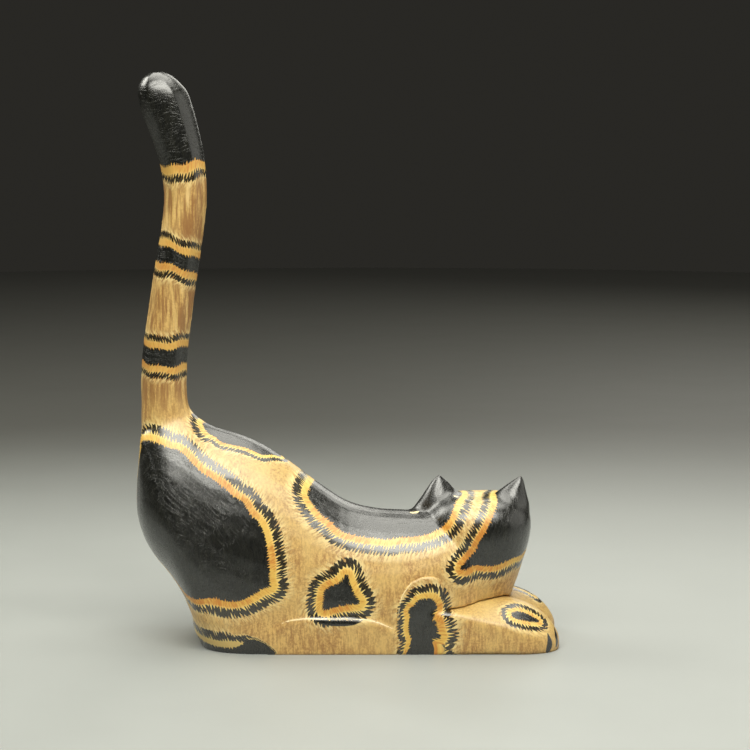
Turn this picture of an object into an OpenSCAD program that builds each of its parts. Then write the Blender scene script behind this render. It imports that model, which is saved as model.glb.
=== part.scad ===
// Stretching cat, a carved and painted wooden figure with its tail straight up.
// +X runs from the rump to the front paws, -Y is the cat's right flank and Z is up.
// The origin is the middle of the flat base. All sizes are in millimetres.

/* [Carved block] */
// Half width of the trunk at its widest
trunk_half_w = 23; // [20:0.5:26]
// How far the upper arms stand proud of the trunk's flank
arm_proud = 0.7; // [0:0.1:1]
// Lean of the neck joint's normal above the horizontal
neck_lean = 22.5; // [10:0.5:35]

/* [Tail] */
// Lean of the tail's seat towards the rear
tail_seat_lean = 22; // [10:1:30]
// Diameter of the tail's peg
tail_peg_d = 8; // [6:0.5:10]
// Length of the tail's peg
tail_peg_len = 18; // [12:1:22]
// How much the tail's carved ridges stand out, as a share of its radius
tail_ridge = 0.06; // [0:0.01:0.12]

/* [Ears] */
// Outward lean of both ear seats
ear_lean = 21; // [10:1:30]
// Depth that each ear is let into the head
ear_inset = 2.5; // [1.5:0.5:4]
// Diameter of each ear's peg
ear_peg_d = 4; // [3:0.5:5]
// Length of each ear's peg
ear_peg_len = 6; // [4:0.5:8]

/* [Pins and fits] */
// Diameter of the neck dowel
neck_dowel_d = 8; // [6:0.5:10]
// Length of the neck dowel
neck_dowel_len = 26; // [18:1:30]
// Diameter of the foreleg pins
leg_pin_d = 3; // [2:0.5:4]
// Length of the foreleg pins
leg_pin_len = 15; // [10:1:16]
// Radial clearance of every peg, dowel and pin
fit = 0.05; // [0.02:0.01:0.1]
// Gap left between carved pieces for the glue
glue_gap = 0.12; // [0.05:0.01:0.2]

/* [Hidden] */
$fn = 64;

ochre = "#c79a55";
black = "#26282b";
raw_wood = "#d9bf94";

far = 400;                                  // longer than the whole figure
end_gap = 0.5;                              // air past the end of a blind peg
trunk_scale = trunk_half_w / 23;

// Trunk stations: x, lowest z, z of the widest line, highest z, half width,
// roundness above and below the widest line (2 is an ellipse, more is squarer).
// Where the lowest z is negative, the base cuts the section off at z 0.
TRUNK = [
    [-73.2, 47.5, 50.0, 53.0, 1.0, 2.0, 2.0],
    [-72.8, 44.5, 50.0, 58.5, 6.0, 2.0, 2.0],
    [-72.0, 41.0, 49.0, 67.0, 9.5, 1.9, 2.0],
    [-71.2, 38.6, 48.5, 76.0, 11.8, 1.8, 2.0],
    [-69.5, 34.4, 47.5, 80.0, 14.6, 1.7, 2.0],
    [-66.0, 29.1, 46.0, 82.5, 17.8, 1.6, 2.1],
    [-62.0, 24.6, 43.0, 83.3, 20.2, 1.6, 2.1],
    [-58.5, 19.8, 39.0, 83.0, 21.6, 1.6, 2.2],
    [-55.5, 13.8, 35.0, 82.4, 22.2, 1.6, 2.2],
    [-53.0, 6.5, 32.0, 80.4, 22.5, 1.65, 2.2],
    [-51.0, -1.0, 30.0, 78.2, 22.7, 1.7, 2.2],
    [-48.0, -7.0, 27.0, 76.3, 22.8, 1.75, 2.3],
    [-43.0, -13.0, 23.0, 74.4, 22.9, 1.85, 2.5],
    [-37.0, -19.0, 20.0, 72.6, 23.0, 1.95, 2.8],
    [-30.0, -24.0, 17.0, 69.5, 23.0, 2.0, 3.0],
    [-20.0, -26.0, 14.0, 63.0, 22.6, 2.1, 3.0],
    [-10.0, -26.0, 12.0, 55.3, 22.2, 2.2, 3.0],
    [0.0, -26.0, 11.0, 48.8, 22.1, 2.3, 3.0],
    [10.0, -26.0, 11.0, 46.3, 22.2, 2.3, 3.0],
    [20.0, -26.0, 12.0, 45.6, 22.4, 2.3, 3.0],
    [28.0, -26.0, 16.0, 45.5, 22.0, 2.3, 3.0],
    [34.0, -26.0, 20.0, 45.2, 20.5, 2.3, 3.0],
    [40.0, -26.0, 24.0, 44.0, 18.0, 2.3, 3.0],
    [46.0, -26.0, 27.0, 42.0, 14.0, 2.2, 3.0],
    [51.0, -20.0, 28.0, 39.0, 9.0, 2.0, 3.0],
    [54.0, -10.0, 28.0, 36.0, 4.0, 2.0, 3.0]
];

// Hind foot stations, carved in low relief on each flank: x, height
HIND_FOOT = [
    [-27.0, 8.0],
    [-22.0, 11.2],
    [-16.0, 12.6],
    [-6.0, 12.4],
    [6.0, 12.0],
    [12.0, 10.8],
    [17.0, 8.0]
];
hind_foot_y = 23.1;      // outer face of each hind foot
hind_foot_in = 3;        // how far each hind foot's root runs into the trunk

// Skull stations: z, centre x, centre y, half width along X,
// reach towards the back (-Y) and towards the face (+Y), squareness
SKULL = [
    [8.0, 38.5, 3.0, 16.5, 16.5, 11.0, 2.0],
    [16.0, 39.3, 3.0, 18.0, 18.0, 13.4, 2.1],
    [22.0, 41.0, 2.5, 18.4, 18.2, 14.8, 2.1],
    [28.0, 42.6, 2.0, 18.6, 18.2, 15.8, 2.2],
    [34.0, 44.0, 1.5, 18.9, 18.0, 16.6, 2.2],
    [40.0, 45.0, 1.0, 18.9, 17.4, 17.2, 2.2],
    [45.0, 45.6, 1.0, 18.0, 16.2, 16.2, 2.2],
    [48.6, 46.0, 1.0, 15.6, 13.8, 14.2, 2.2],
    [50.8, 46.0, 1.0, 12.2, 10.6, 11.0, 2.1],
    [51.9, 46.0, 1.0, 8.0, 7.0, 7.2, 2.0],
    [52.2, 46.0, 1.0, 3.0, 2.6, 2.8, 2.0]
];

// Tail stations: x, z, lean of the ring towards the rear, half width, half depth
TAIL = [
    [-62.9, 76.9, 22, 9.1, 7.9],
    [-63.2, 84.0, 8, 8.2, 7.5],
    [-63.3, 92.0, -1, 7.9, 7.3],
    [-62.7, 102.0, -4, 7.8, 7.2],
    [-60.7, 117.0, -9, 7.6, 7.1],
    [-58.5, 131.0, -9, 7.5, 7.0],
    [-56.4, 144.0, -7, 7.3, 6.9],
    [-55.3, 155.0, -2, 7.35, 6.9],
    [-56.0, 165.5, 9, 7.65, 7.1],
    [-58.4, 176.0, 17, 8.2, 7.4],
    [-61.9, 187.0, 17, 8.6, 7.6],
    [-63.9, 192.4, 9, 7.5, 6.8],
    [-64.7, 195.8, 6, 4.9, 4.6],
    [-64.8, 197.4, 4, 2.0, 2.0]
];

// Forearm stations: x, half width, crown height, ridge height, inner height
FOREARM = [
    [18.0, 11.2, 14.0, 13.6, 14.0],
    [28.0, 11.3, 14.6, 14.0, 14.4],
    [36.0, 11.6, 16.0, 14.3, 15.4],
    [45.5, 11.6, 17.0, 12.0, 15.8],
    [56.0, 11.6, 17.2, 9.3, 15.0],
    [62.0, 11.3, 15.6, 7.2, 12.6],
    [67.0, 9.9, 12.6, 5.4, 9.4],
    [70.2, 7.7, 9.4, 4.2, 7.0],
    [72.2, 4.9, 6.4, 3.2, 5.0],
    [73.2, 2.0, 4.2, 2.4, 3.6]
];
forearm_mid_y = 11.65;   // middle of each forearm, from the centre plane
elbow_x = 17.2;          // rear edge of the foreleg
shoulder_in = 12.4;      // inner face of the upper arm, from the centre plane
leg_pins = [[22.0, 17.0], [29.6, 17.0]]; // x and z of the pins in each foreleg

// Upper arm's outline on the flank, x and z, from the elbow over the shoulder
UPPER_ARM = [
    [elbow_x, -4],
    [elbow_x, 15.6],
    [17.9, 19.2],
    [19.4, 22.4],
    [22.2, 25.3],
    [25.4, 26.7],
    [29.0, 27.0],
    [31.6, 26.4],
    [32.8, 24.2],
    [33.2, 19.0],
    [33.8, 9.0],
    [34.0, -4]
];

neck_at = [27.2, 0, 30];     // middle of the neck joint
tail_at = [TAIL[0][0], 0, TAIL[0][1]];

// Ears: seat x, y, z, lean, half width, tip's shift along the head, height
EAR_LEFT = [30.3, 3.2, 48.5, -1, 8.0, 5.0, 8.2];
EAR_RIGHT = [56.8, -1.2, 49.2, 1, 7.0, 0.2, 8.9];

// Muzzle pads, nose and chin: centre and radius
MUZZLE = [
    [42.6, 16.6, 25.0, 5.8],
    [48.2, 16.2, 24.6, 5.8],
    [45.5, 17.4, 28.4, 5.2],
    [45.2, 14.0, 20.6, 5.4]
];

// --- Curves ------------------------------------------------------------------

// Index of the table row at or before x in its first column
function row_at(table, x) =
    max([0, for (i = [0 : len(table) - 2]) if (table[i][0] <= x) i]);

// Slope of column c at row i, from the rows on both sides
function slope(table, i, c) =
    let (a = max(i - 1, 0), b = min(i + 1, len(table) - 1))
    (table[b][c] - table[a][c]) / (table[b][0] - table[a][0]);

// Smooth value of column c at x
function curve(table, x, c) =
    let (
        i = row_at(table, x),
        run = table[i + 1][0] - table[i][0],
        t = (x - table[i][0]) / run,
        p = table[i][c],
        q = table[i + 1][c],
        m = slope(table, i, c) * run,
        n = slope(table, i + 1, c) * run
    )
    (2 * t ^ 3 - 3 * t ^ 2 + 1) * p + (t ^ 3 - 2 * t ^ 2 + t) * m
        + (3 * t ^ 2 - 2 * t ^ 3) * q + (t ^ 3 - t ^ 2) * n;

// All columns of a table's rows at x
function station(table, x) =
    [x, for (c = [1 : len(table[0]) - 1]) curve(table, x, c)];

// A power that keeps the sign of its base
function signed_pow(v, e) = sign(v) * abs(v) ^ e;

// n values from a to b, crowded towards a
function from_round_end(a, b, n) = [for (i = [0 : n]) a + (b - a) * (1 - cos(90 * i / n))];

// n values from a to b, evenly spaced
function evenly(a, b, n) = [for (i = [0 : n]) a + (b - a) * i / n];

// The same ring run the other way round, for the flank on the other side
function mirrored(ring) = [for (k = [len(ring) - 1 : -1 : 0]) ring[k]];

// Closed solid through rings that have the same number of points. Each ring runs
// anticlockwise, seen with the next ring nearer.
module skin(rings) {
    n = len(rings[0]);
    last = len(rings) - 1;
    polyhedron(
        points = [for (ring = rings) for (p = ring) p],
        faces = concat(
            [[for (k = [0 : n - 1]) k]],
            [for (i = [0 : last - 1], k = [0 : n - 1])
                let (a = i * n + k, b = i * n + (k + 1) % n) [a, b + n, b]],
            [for (i = [0 : last - 1], k = [0 : n - 1])
                let (a = i * n + k, b = i * n + (k + 1) % n) [a, a + n, b + n]],
            [[for (k = [n - 1 : -1 : 0]) last * n + k]]
        )
    );
}

// Joins its children into one mesh and leaves their size alone
module carved() resize([0, 0, 0]) union() children();

// --- Trunk -------------------------------------------------------------------

trunk_points = 44;

// One section of the trunk, grown outwards by a margin
function trunk_ring(s, grow) = [
    for (k = [0 : trunk_points - 1])
        let (
            a = 360 * k / trunk_points,
            up = sin(a) >= 0,
            e = 2 / (up ? s[5] : s[6])
        )
        [
            s[0],
            (trunk_scale * s[4] + grow) * signed_pow(cos(a), e),
            s[2] + ((up ? s[3] - s[2] : s[2] - s[1]) + grow) * signed_pow(sin(a), e)
        ]
];

module trunk(grow = 0) {
    rear = TRUNK[0][0];
    haunch = -46;
    front = TRUNK[len(TRUNK) - 1][0];
    xs = concat(
        from_round_end(rear, haunch, 16),
        [for (x = evenly(haunch, front, 30)) if (x > haunch) x]
    );
    skin([for (x = xs) trunk_ring(station(TRUNK, min(x, front - 0.001)), grow)]);
}

// Hind foot: a low ledge with a rounded upper edge
module hind_foot(side) {
    first = HIND_FOOT[0][0];
    last = HIND_FOOT[len(HIND_FOOT) - 1][0];
    y = hind_foot_y * trunk_scale;
    rings = [
        for (x = evenly(first, last, 16))
            let (top = station(HIND_FOOT, min(x, last - 0.001))[1])
            [for (p = [
                [y - hind_foot_in, -2], [y, -2], [y, top - 1.2], [y - 0.2, top - 0.5],
                [y - 0.6, top - 0.1], [y - 1.2, top], [y - hind_foot_in, top - 0.2]
            ]) [x, side * p[0], p[1]]]
    ];
    skin(side > 0 ? rings : [for (ring = rings) mirrored(ring)]);
}

// Everything past the neck joint's plane
module past_neck()
    translate(neck_at) rotate([0, -neck_lean, 0])
        translate([0, -far / 2, -far / 2]) cube(far);

// Everything behind the neck joint's plane, less the glue gap
module behind_neck()
    translate(neck_at) rotate([0, -neck_lean, 0])
        translate([glue_gap - far, -far / 2, -far / 2]) cube(far);

// Everything above the tail's seat
module above_tail_seat()
    translate(tail_at) rotate([0, -tail_seat_lean, 0])
        translate([-far / 2, -far / 2, 0]) cube(far);

module below_ground() translate([-far / 2, -far / 2, -far]) cube(far);

module tail_peg(clear = 0)
    translate(tail_at) rotate([0, -tail_seat_lean, 0])
        translate([0, 0, -tail_peg_len - (clear > 0 ? end_gap : 0)])
            cylinder(d = tail_peg_d + 2 * clear, h = tail_peg_len + 1 + (clear > 0 ? end_gap : 0));

module neck_peg(clear = 0) {
    long = neck_dowel_len + (clear > 0 ? 2 * end_gap : 0);
    translate(neck_at) rotate([0, 90 - neck_lean, 0])
        translate([0, 0, -long / 2]) cylinder(d = neck_dowel_d + 2 * clear, h = long);
}

module leg_peg(side, clear = 0) {
    long = leg_pin_len + (clear > 0 ? 2 * end_gap : 0);
    for (p = leg_pins)
        translate([p[0], side * shoulder_in, p[1]])
            rotate([90, 0, 0])
                translate([0, 0, -long / 2]) cylinder(d = leg_pin_d + 2 * clear, h = long);
}

module body() {
    color(ochre) difference() {
        carved() difference() {
            union() {
                trunk();
                for (side = [-1, 1]) hind_foot(side);
            }
            past_neck();
            for (side = [-1, 1]) foreleg_shape(side, glue_gap);
            below_ground();
            above_tail_seat();
        }
        tail_peg(fit);
        neck_peg(fit);
        for (side = [-1, 1]) leg_peg(side, fit);
    }
}

// --- Head --------------------------------------------------------------------

skull_points = 44;

function skull_ring(s) = [
    for (k = [0 : skull_points - 1])
        let (a = 360 * k / skull_points, e = 2 / s[6])
        [
            s[1] + s[3] * signed_pow(cos(a), e),
            s[2] + (sin(a) < 0 ? s[4] : s[5]) * signed_pow(sin(a), e),
            s[0]
        ]
];

module skull() {
    top = SKULL[len(SKULL) - 1][0];
    crown = 42;
    zs = concat(
        [for (z = evenly(SKULL[0][0], crown, 20)) if (z < crown) z],
        [for (i = [0 : 12]) crown + (top - crown) * sin(90 * i / 12)]
    );
    skin([for (z = zs) skull_ring(station(SKULL, min(z, top - 0.001)))]);
}

module muzzle() for (m = MUZZLE) translate([m[0], m[1], m[2]]) sphere(m[3], $fn = 32);

module head() {
    color(ochre) difference() {
        carved() difference() {
            union() {
                skull();
                muzzle();
                trunk();
            }
            behind_neck();
            for (side = [-1, 1]) translate([0, 0, glue_gap]) foreleg_shape(side, glue_gap);
            for (ear = [EAR_LEFT, EAR_RIGHT]) ear_blade(ear, glue_gap);
            translate([0, 0, glue_gap]) below_paws();
        }
        neck_peg(fit);
        for (ear = [EAR_LEFT, EAR_RIGHT]) ear_peg(ear, fit);
    }
}

// The space under the forearms' crowns, which the head doesn't enter
module below_paws() translate([elbow_x, -far / 2, -far]) cube([far, far, far + 14]);

// --- Ears --------------------------------------------------------------------

ear_points = 28;

// Ear section at share t of its height: ridged at the back, flatter in front
function ear_ring(ear, t, clear) = [
    for (k = [0 : ear_points - 1])
        let (
            a = 360 * k / ear_points,
            back = sin(a) < 0,
            e = 2 / (back ? 1.35 : 2.4),
            taper = 1 - max(t, 0) ^ 1.25
        )
        [
            ear[5] * max(t, 0) + (ear[4] * taper + 0.5 + clear) * signed_pow(cos(a), e),
            ((back ? 5.6 : 3.4) * taper + 0.5 + clear) * signed_pow(sin(a), e),
            ear[6] * t
        ]
];

module at_ear(ear) translate([ear[0], ear[1], ear[2]]) rotate([0, ear[3] * ear_lean, 0]) children();

module ear_blade(ear, clear = 0) {
    root = -(ear_inset + clear) / ear[6];
    at_ear(ear) skin([for (t = concat([root], evenly(0, 1, 14))) ear_ring(ear, t, clear)]);
}

module ear_peg(ear, clear = 0) {
    long = ear_peg_len + (clear > 0 ? end_gap : 0);
    at_ear(ear) translate([0, 0, -ear_inset - long])
        cylinder(d = ear_peg_d + 2 * clear, h = long + 0.5);
}

module ear(ear) {
    color(black) {
        ear_blade(ear);
        ear_peg(ear);
    }
}

// --- Forelegs ----------------------------------------------------------------

// Forearm section: a flat outer side, a sloping top and a rounded inner side.
// Each pair is a share of the half width, from outer to inner, and a height.
function forearm_outline(s) = [
    [1, -3], [1, s[3] * 0.35], [1, s[3] * 0.7], [0.985, s[3]],
    [0.72, s[3] + (s[2] - s[3]) * 0.36], [0.45, s[3] + (s[2] - s[3]) * 0.68],
    [0.2, s[3] + (s[2] - s[3]) * 0.92], [0, s[2]], [-0.25, s[2] - (s[2] - s[4]) * 0.08],
    [-0.55, s[2] - (s[2] - s[4]) * 0.35], [-0.85, s[2] - (s[2] - s[4]) * 0.75],
    [-1, s[4]], [-1, s[4] * 0.5], [-1, -3]
];

module forearm(side, clear) {
    first = FOREARM[0][0];
    paw = 58;
    last = FOREARM[len(FOREARM) - 1][0];
    xs = concat(
        [for (x = evenly(first, paw, 16)) if (x < paw) x],
        [for (i = [0 : 14]) paw + (last - paw) * sin(90 * i / 14)]
    );
    rings = [
        for (x = xs)
            let (s = station(FOREARM, min(x, last - 0.001)))
            [for (p = forearm_outline(s))
                [x == first ? x - clear : x,
                 side * (forearm_mid_y + (s[1] + clear) * p[0]),
                 p[1] + clear]]
    ];
    skin(side > 0 ? rings : [for (ring = rings) mirrored(ring)]);
}

// Upper arm: a round-shouldered block, let into the flank and shaped to follow it
module upper_arm(side, clear) {
    deep = trunk_half_w;
    near = side > 0 ? shoulder_in + deep : clear - shoulder_in;
    intersection() {
        translate([0, near, 0])
            rotate([90, 0, 0])
                linear_extrude(deep + clear) offset(delta = clear) polygon(UPPER_ARM);
        trunk(arm_proud);
    }
}

module foreleg_shape(side, clear = 0) {
    forearm(side, clear);
    upper_arm(side, clear);
}

module foreleg(side) {
    color(ochre) difference() {
        carved() difference() {
            foreleg_shape(side);
            below_ground();
        }
        leg_peg(side, fit);
    }
}

// --- Tail --------------------------------------------------------------------

tail_points = 30;
tail_ridges = 6;

// Ring of the tail at row position u, counted in rows of the table
function tail_row(u) =
    let (rows = [for (i = [0 : len(TAIL) - 1]) concat([i], TAIL[i])])
    station(rows, min(u, len(TAIL) - 1.001));

function tail_ring(u) =
    let (s = tail_row(u), blend = min(u / 2, 1))
    [
        for (k = [0 : tail_points - 1])
            let (
                a = 360 * k / tail_points,
                r = 1 - tail_ridge * blend * abs(sin(tail_ridges * a / 2)),
                x = r * s[4] * cos(a),
                y = r * s[5] * sin(a)
            )
            [s[1] + x * cos(s[3]), y, s[2] + x * sin(s[3])]
    ];

module below_tail_seat()
    translate(tail_at) rotate([0, -tail_seat_lean, 0])
        translate([-far / 2, -far / 2, glue_gap - far]) cube(far);

module tail() {
    color(ochre) {
        carved() difference() {
            skin([for (u = evenly(0, len(TAIL) - 1, 46)) tail_ring(u)]);
            below_tail_seat();
        }
        tail_peg();
    }
}

// --- Pins --------------------------------------------------------------------

module neck_dowel() color(raw_wood) neck_peg();

module foreleg_pins(side) color(raw_wood) leg_peg(side);

body();
head();
ear(EAR_LEFT);  // ear_left
ear(EAR_RIGHT);  // ear_right
foreleg(1);  // foreleg_left
foreleg(-1);  // foreleg_right
tail();
neck_dowel();
foreleg_pins(1);  // foreleg_pins_left
foreleg_pins(-1);  // foreleg_pins_right
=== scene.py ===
"""Looks of the carved and painted wooden cat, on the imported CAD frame."""
import math

import bmesh
import bpy
import numpy as np
from mathutils import Matrix, Vector, noise
from mathutils.bvhtree import BVHTree


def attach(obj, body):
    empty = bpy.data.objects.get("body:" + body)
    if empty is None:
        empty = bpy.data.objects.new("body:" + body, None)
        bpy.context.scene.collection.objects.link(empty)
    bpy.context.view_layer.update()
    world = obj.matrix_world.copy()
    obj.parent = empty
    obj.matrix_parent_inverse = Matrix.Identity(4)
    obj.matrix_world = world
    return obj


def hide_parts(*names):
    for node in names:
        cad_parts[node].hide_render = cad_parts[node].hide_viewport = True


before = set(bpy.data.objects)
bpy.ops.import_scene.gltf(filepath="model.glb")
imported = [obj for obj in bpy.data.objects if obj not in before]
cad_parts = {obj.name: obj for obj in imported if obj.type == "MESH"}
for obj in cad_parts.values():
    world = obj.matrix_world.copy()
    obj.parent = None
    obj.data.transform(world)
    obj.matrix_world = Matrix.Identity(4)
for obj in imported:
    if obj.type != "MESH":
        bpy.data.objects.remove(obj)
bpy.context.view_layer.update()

# ---------------------------------------------------------------- sizes, in mm unless they say otherwise

# Skin
SKIN_VOXEL = 0.6
LEG_VOXEL = 0.45
SWELL = 0.2  # closes the glue gaps before the skin is remeshed
SOFTENING = 40  # rounds of smoothing where a crease is rounded off
HELD_BELOW = 0.35  # points lower than this keep their height while the rest is smoothed
FLAT_BELOW = 0.25  # points lower than this end up on the ground
WAVE_START = 0.3  # height where the carved waves begin
WAVE_GROWTH = 3  # they grow to their full depth over this height
WAVE_DEPTH = 0.1
WAVE_LENGTH = 11
RIPPLE_LENGTH = 4.5

# The filler behind each foreleg
FILLER_FRONT = 33.9  # it ends here
FILLER_MIDDLE = (25.6, 0, 12.0)  # it is grown a little about this point
FILLER_GROWTH = (1.02, 1, 1.02)
FILLER_OUTER = 15  # its outer side is further out than this
ARM_PROUD = 0.7  # how far the foreleg stands out from that side

# Where the wood is split: a point of each cut, and the way that it faces
TAIL_SEAT = (Vector((-62.9, 0, 76.9)), Vector((-0.3746, 0, 0.9272)))
NECK = (Vector((27.2, 0, 30)), Vector((0.9239, 0, 0.3827)))
EAR_LEAN = math.radians(21)
# each ear's seat, and the side that it leans to
EAR_SEATS = {
    "ear_left": (Vector((30.3, 3.2, 48.5)), -1),
    "ear_right": (Vector((56.8, -1.2, 49.2)), 1),
}
EAR_FOOT = 1.5  # height of the ear's cut over its seat
EAR_HEIGHT = 10  # height of the ear's tip over its seat
EAR_PULL = 0.17  # the tip is drawn out by this share of that height
EAR_CUT_REACH = 14  # the cut runs this far from the seat
EAR_REACH = 16  # and all of the ear is nearer the seat than this
ROUND_SIDES = 48  # of the peg and the bore
PEG_R = 4.0
PEG_LEN = 18.0
BORE_R = 4.05
BORE_LEN = 18.5

# Rings of paint, from a patch's black edge outwards, in ring widths
RING = 3.0  # to the zigzag's inner edge
ZIGZAG_MIDDLE = 4  # to the zigzag's own line
ZIGZAG = 5.5  # to the zigzag's outer edge
FAR = 60.0  # stands for "nowhere near any patch"
ZIGZAG_SMOOTHING = 12  # rounds of smoothing of the zigzag's own line
SEED_STEP = 1.7  # gives each patch its own random strokes

# Lines of paint
STROKE = 1.05  # one brush stroke's width along a ring
EDGE_STEP = 0.6  # spacing of the points along a patch's edge
LINE_STEP = 0.4  # and along a single stroke
TAIL_FOOT = 84  # the bands are drawn above this height
TAIL_FRONT = -30  # the tail lies behind this
TAIL_RADIUS = 7.5  # for the spacing of strokes round the tail
TAIL_HEIGHTS = np.arange(70, 200, 6.0)  # where the tail's middle is measured
TAIL_SLICE = 5  # and how far above and below each height that looks

# Places moved a little after smoothing: middle, reach each way, and shift
NUDGES = [
    ((45.5, 0, 52), (11, 16, 12), (0, 0, -1.7)),  # the crown, down
    ((-52, 0, 6), (10, 24, 5), (-0.8, 0, 0)),  # the back of the heels, out
]


# ---------------------------------------------------------------- outlines of the paint

# Each outline is a closed loop of points near the surface, in mm, on the cat's right (-Y) side
# unless it runs over the back. They are dropped on to the surface before use. A fourth number is
# the width of the rings there, where it isn't the patch's own.
HAUNCH = [
    (-70.5, -7, 71), (-67.5, -10, 72), (-64.5, -11, 71), (-61, -13, 70), (-57.5, -13, 69), (-54, -14, 66),
    (-50, -15, 62), (-47, -15, 60), (-42.5, -16, 57), (-39, -17, 54), (-35.5, -18, 52), (-33, -19, 48),
    (-30.5, -19, 45.5), (-28.5, -20, 42), (-27.5, -21, 38), (-27, -21, 35), (-26.5, -22, 31),
    (-26.5, -22, 26), (-26, -23, 24), (-29, -23, 23), (-32, -23, 21), (-37, -23, 19), (-41.5, -23, 19),
    (-46.5, -23, 20), (-51.5, -20, 19.5, 0.8), (-55, -15, 22, 0.7), (-59, -11, 26, 0.6),
    (-64, -7, 32, 0.6), (-68, -5, 38, 0.6), (-70, -4, 46, 0.6), (-71, -4, 54, 0.6), (-71, -6, 62, 0.7),
    (-70.5, -8, 68, 0.9),
]
RUMP_TOP = [
    (-50, -2, 76.5, 0.85), (-48.5, -5, 74, 0.75), (-45.5, -6, 73), (-43, -7, 71), (-39.5, -7, 70),
    (-35, -7, 69), (-32, -7, 68), (-29, -7, 67), (-26, -4, 66), (-23, -1, 65), (-24, 3, 65),
    (-28, 5, 66.5), (-33, 7, 68.5), (-38, 7.5, 70), (-43, 6, 72), (-48, 5, 74.5, 0.75),
]
SADDLE = [
    (-12, -5, 56), (-13.5, -10, 54), (-12.5, -12, 52), (-10.5, -13, 49), (-8, -14, 46.5),
    (-5.5, -14, 44.5), (-2.5, -15, 42), (1, -15, 40.5), (5, -15, 39.5), (9.5, -15, 39), (14.5, -15, 38.5),
    (17.5, -14.5, 39), (21.5, -14.5, 39.5), (27, -14, 40), (31, -12.5, 41.5), (34.5, -12.5, 44.5),
    (36, -11.5, 47.5), (37, -9, 49.5), (38.5, -5, 51, 0.85), (39.8, 0, 52, 0.8), (39.5, 6, 51, 0.85),
    (36.5, 10, 47), (31, 13, 42), (24, 14.5, 40), (17, 15, 39), (10, 15, 38.5), (4, 15, 40),
    (-1, 15, 42.5), (-6, 14, 46), (-9, 13.5, 49.5), (-11, 11, 53), (-11, 5, 56),
]
HEAD = [
    (52, -8, 51), (51, -12.5, 48.5), (49.5, -15, 45), (48, -16, 42), (45.5, -16.5, 38), (44, -16.5, 35),
    (41, -16.5, 31.5), (39, -18, 29), (41, -17, 28.5), (44, -16, 30), (47.5, -16, 29.5), (51, -15, 29.5),
    (54.5, -13.5, 30.5), (58, -11, 31.5), (61, -6, 32), (62.5, 1, 35), (62, 8, 39), (60, 12, 43),
    (57.5, 11, 48), (53.5, 7, 51.5), (51, -2, 53),
]
SPOT = [
    (-7.5, -21.5, 22), (-5.5, -21.5, 23.5), (-3, -21.5, 24.5), (-1, -21.5, 26.5), (0, -21.5, 27.5),
    (1, -21.5, 24.5), (2.5, -21.5, 21), (4.2, -21.5, 18), (1.5, -21.5, 17.5), (-1.5, -21.5, 17),
    (-4.5, -21.5, 16.5), (-8, -21.5, 15.5), (-8, -21.5, 19),
]
ARCH = [
    (24.5, -23, 19, 0.75), (26.5, -23, 19.5, 0.8), (29.5, -23, 19, 0.95), (31, -23, 16), (29.5, -23, 14, 1.2),
    (30.5, -23, 10.5, 1.2), (31, -23, 8, 1.2), (32, -23, 6), (29, -23, 5, 1.2), (29.5, -23, 2.5, 1.2),
    (29.5, -21, 0, 1.2), (25, -17, 0), (20.5, -21, 0, 0.6), (21, -23, 2, 0.6), (22, -23, 5, 0.7),
    (21, -23, 9, 0.65), (21.5, -23, 13, 0.7), (21, -23, 15.5, 0.65), (23, -23, 17.5, 0.7),
]
PAW = [
    (56.5, -18, 13.5), (59.5, -17, 14), (63, -17, 12.5), (66, -17, 10.5), (63.5, -18.5, 10.5),
    (59.5, -19.5, 11.5), (57, -19.5, 12.5),
]
HEEL = [
    (-51, -11, 4.4, 1.0), (-48, -16, 3, 1.0), (-44, -19, 2.2, 1.0), (-40, -21, 2, 1.0), (-37, -22, 2.6, 0.8),
    (-34, -22.5, 5, 0.3), (-30.5, -22.5, 5, 0.1), (-27, -23, 3, 0.08), (-24.5, -23, 0.5, 0.08),
    (-28, -20, 0, 0.1), (-38, -14, 0), (-46, -5, 0), (-52, -5, 1),
]


def other_side(outline, dx=0.0, dy=0.0, dz=0.0, grow=1.0):
    """A patch's partner on the cat's left side, moved and grown a little so the two differ."""
    x0 = sum(p[0] for p in outline) / len(outline)
    z0 = sum(p[2] for p in outline) / len(outline)
    return [(x0 + dx + (x - x0) * grow, dy - y, z0 + dz + (z - z0) * grow, *w) for x, y, z, *w in outline]


# Each patch's outline, and the width of its rings
PATCHES = [
    (HAUNCH, 1.0),
    (RUMP_TOP, 0.5),
    (SADDLE, 1.0),
    (HEAD, 0.85),
    (SPOT, 0.95),
    (ARCH, 0.9),
    (PAW, 0.62),
    (HEEL, 0.9),
    (other_side(HAUNCH, dx=2, dz=-1.5, grow=0.94), 1.0),
    (other_side(SPOT, dx=3, grow=1.1), 0.95),
    (other_side(ARCH, dx=-1, grow=0.94), 0.9),
    (other_side(PAW, dy=-7, dz=3), 0.6),
    (other_side(HEEL, dx=3), 0.9),
]

# Tail bands: lower and upper height, how far they drop towards the front, and ring width
BANDS = [(166.8, 260.0, -0.1, 1.2), (131.5, 136.5, 0.28, 1.0), (97.8, 103.5, 0.05, 0.95)]

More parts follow.
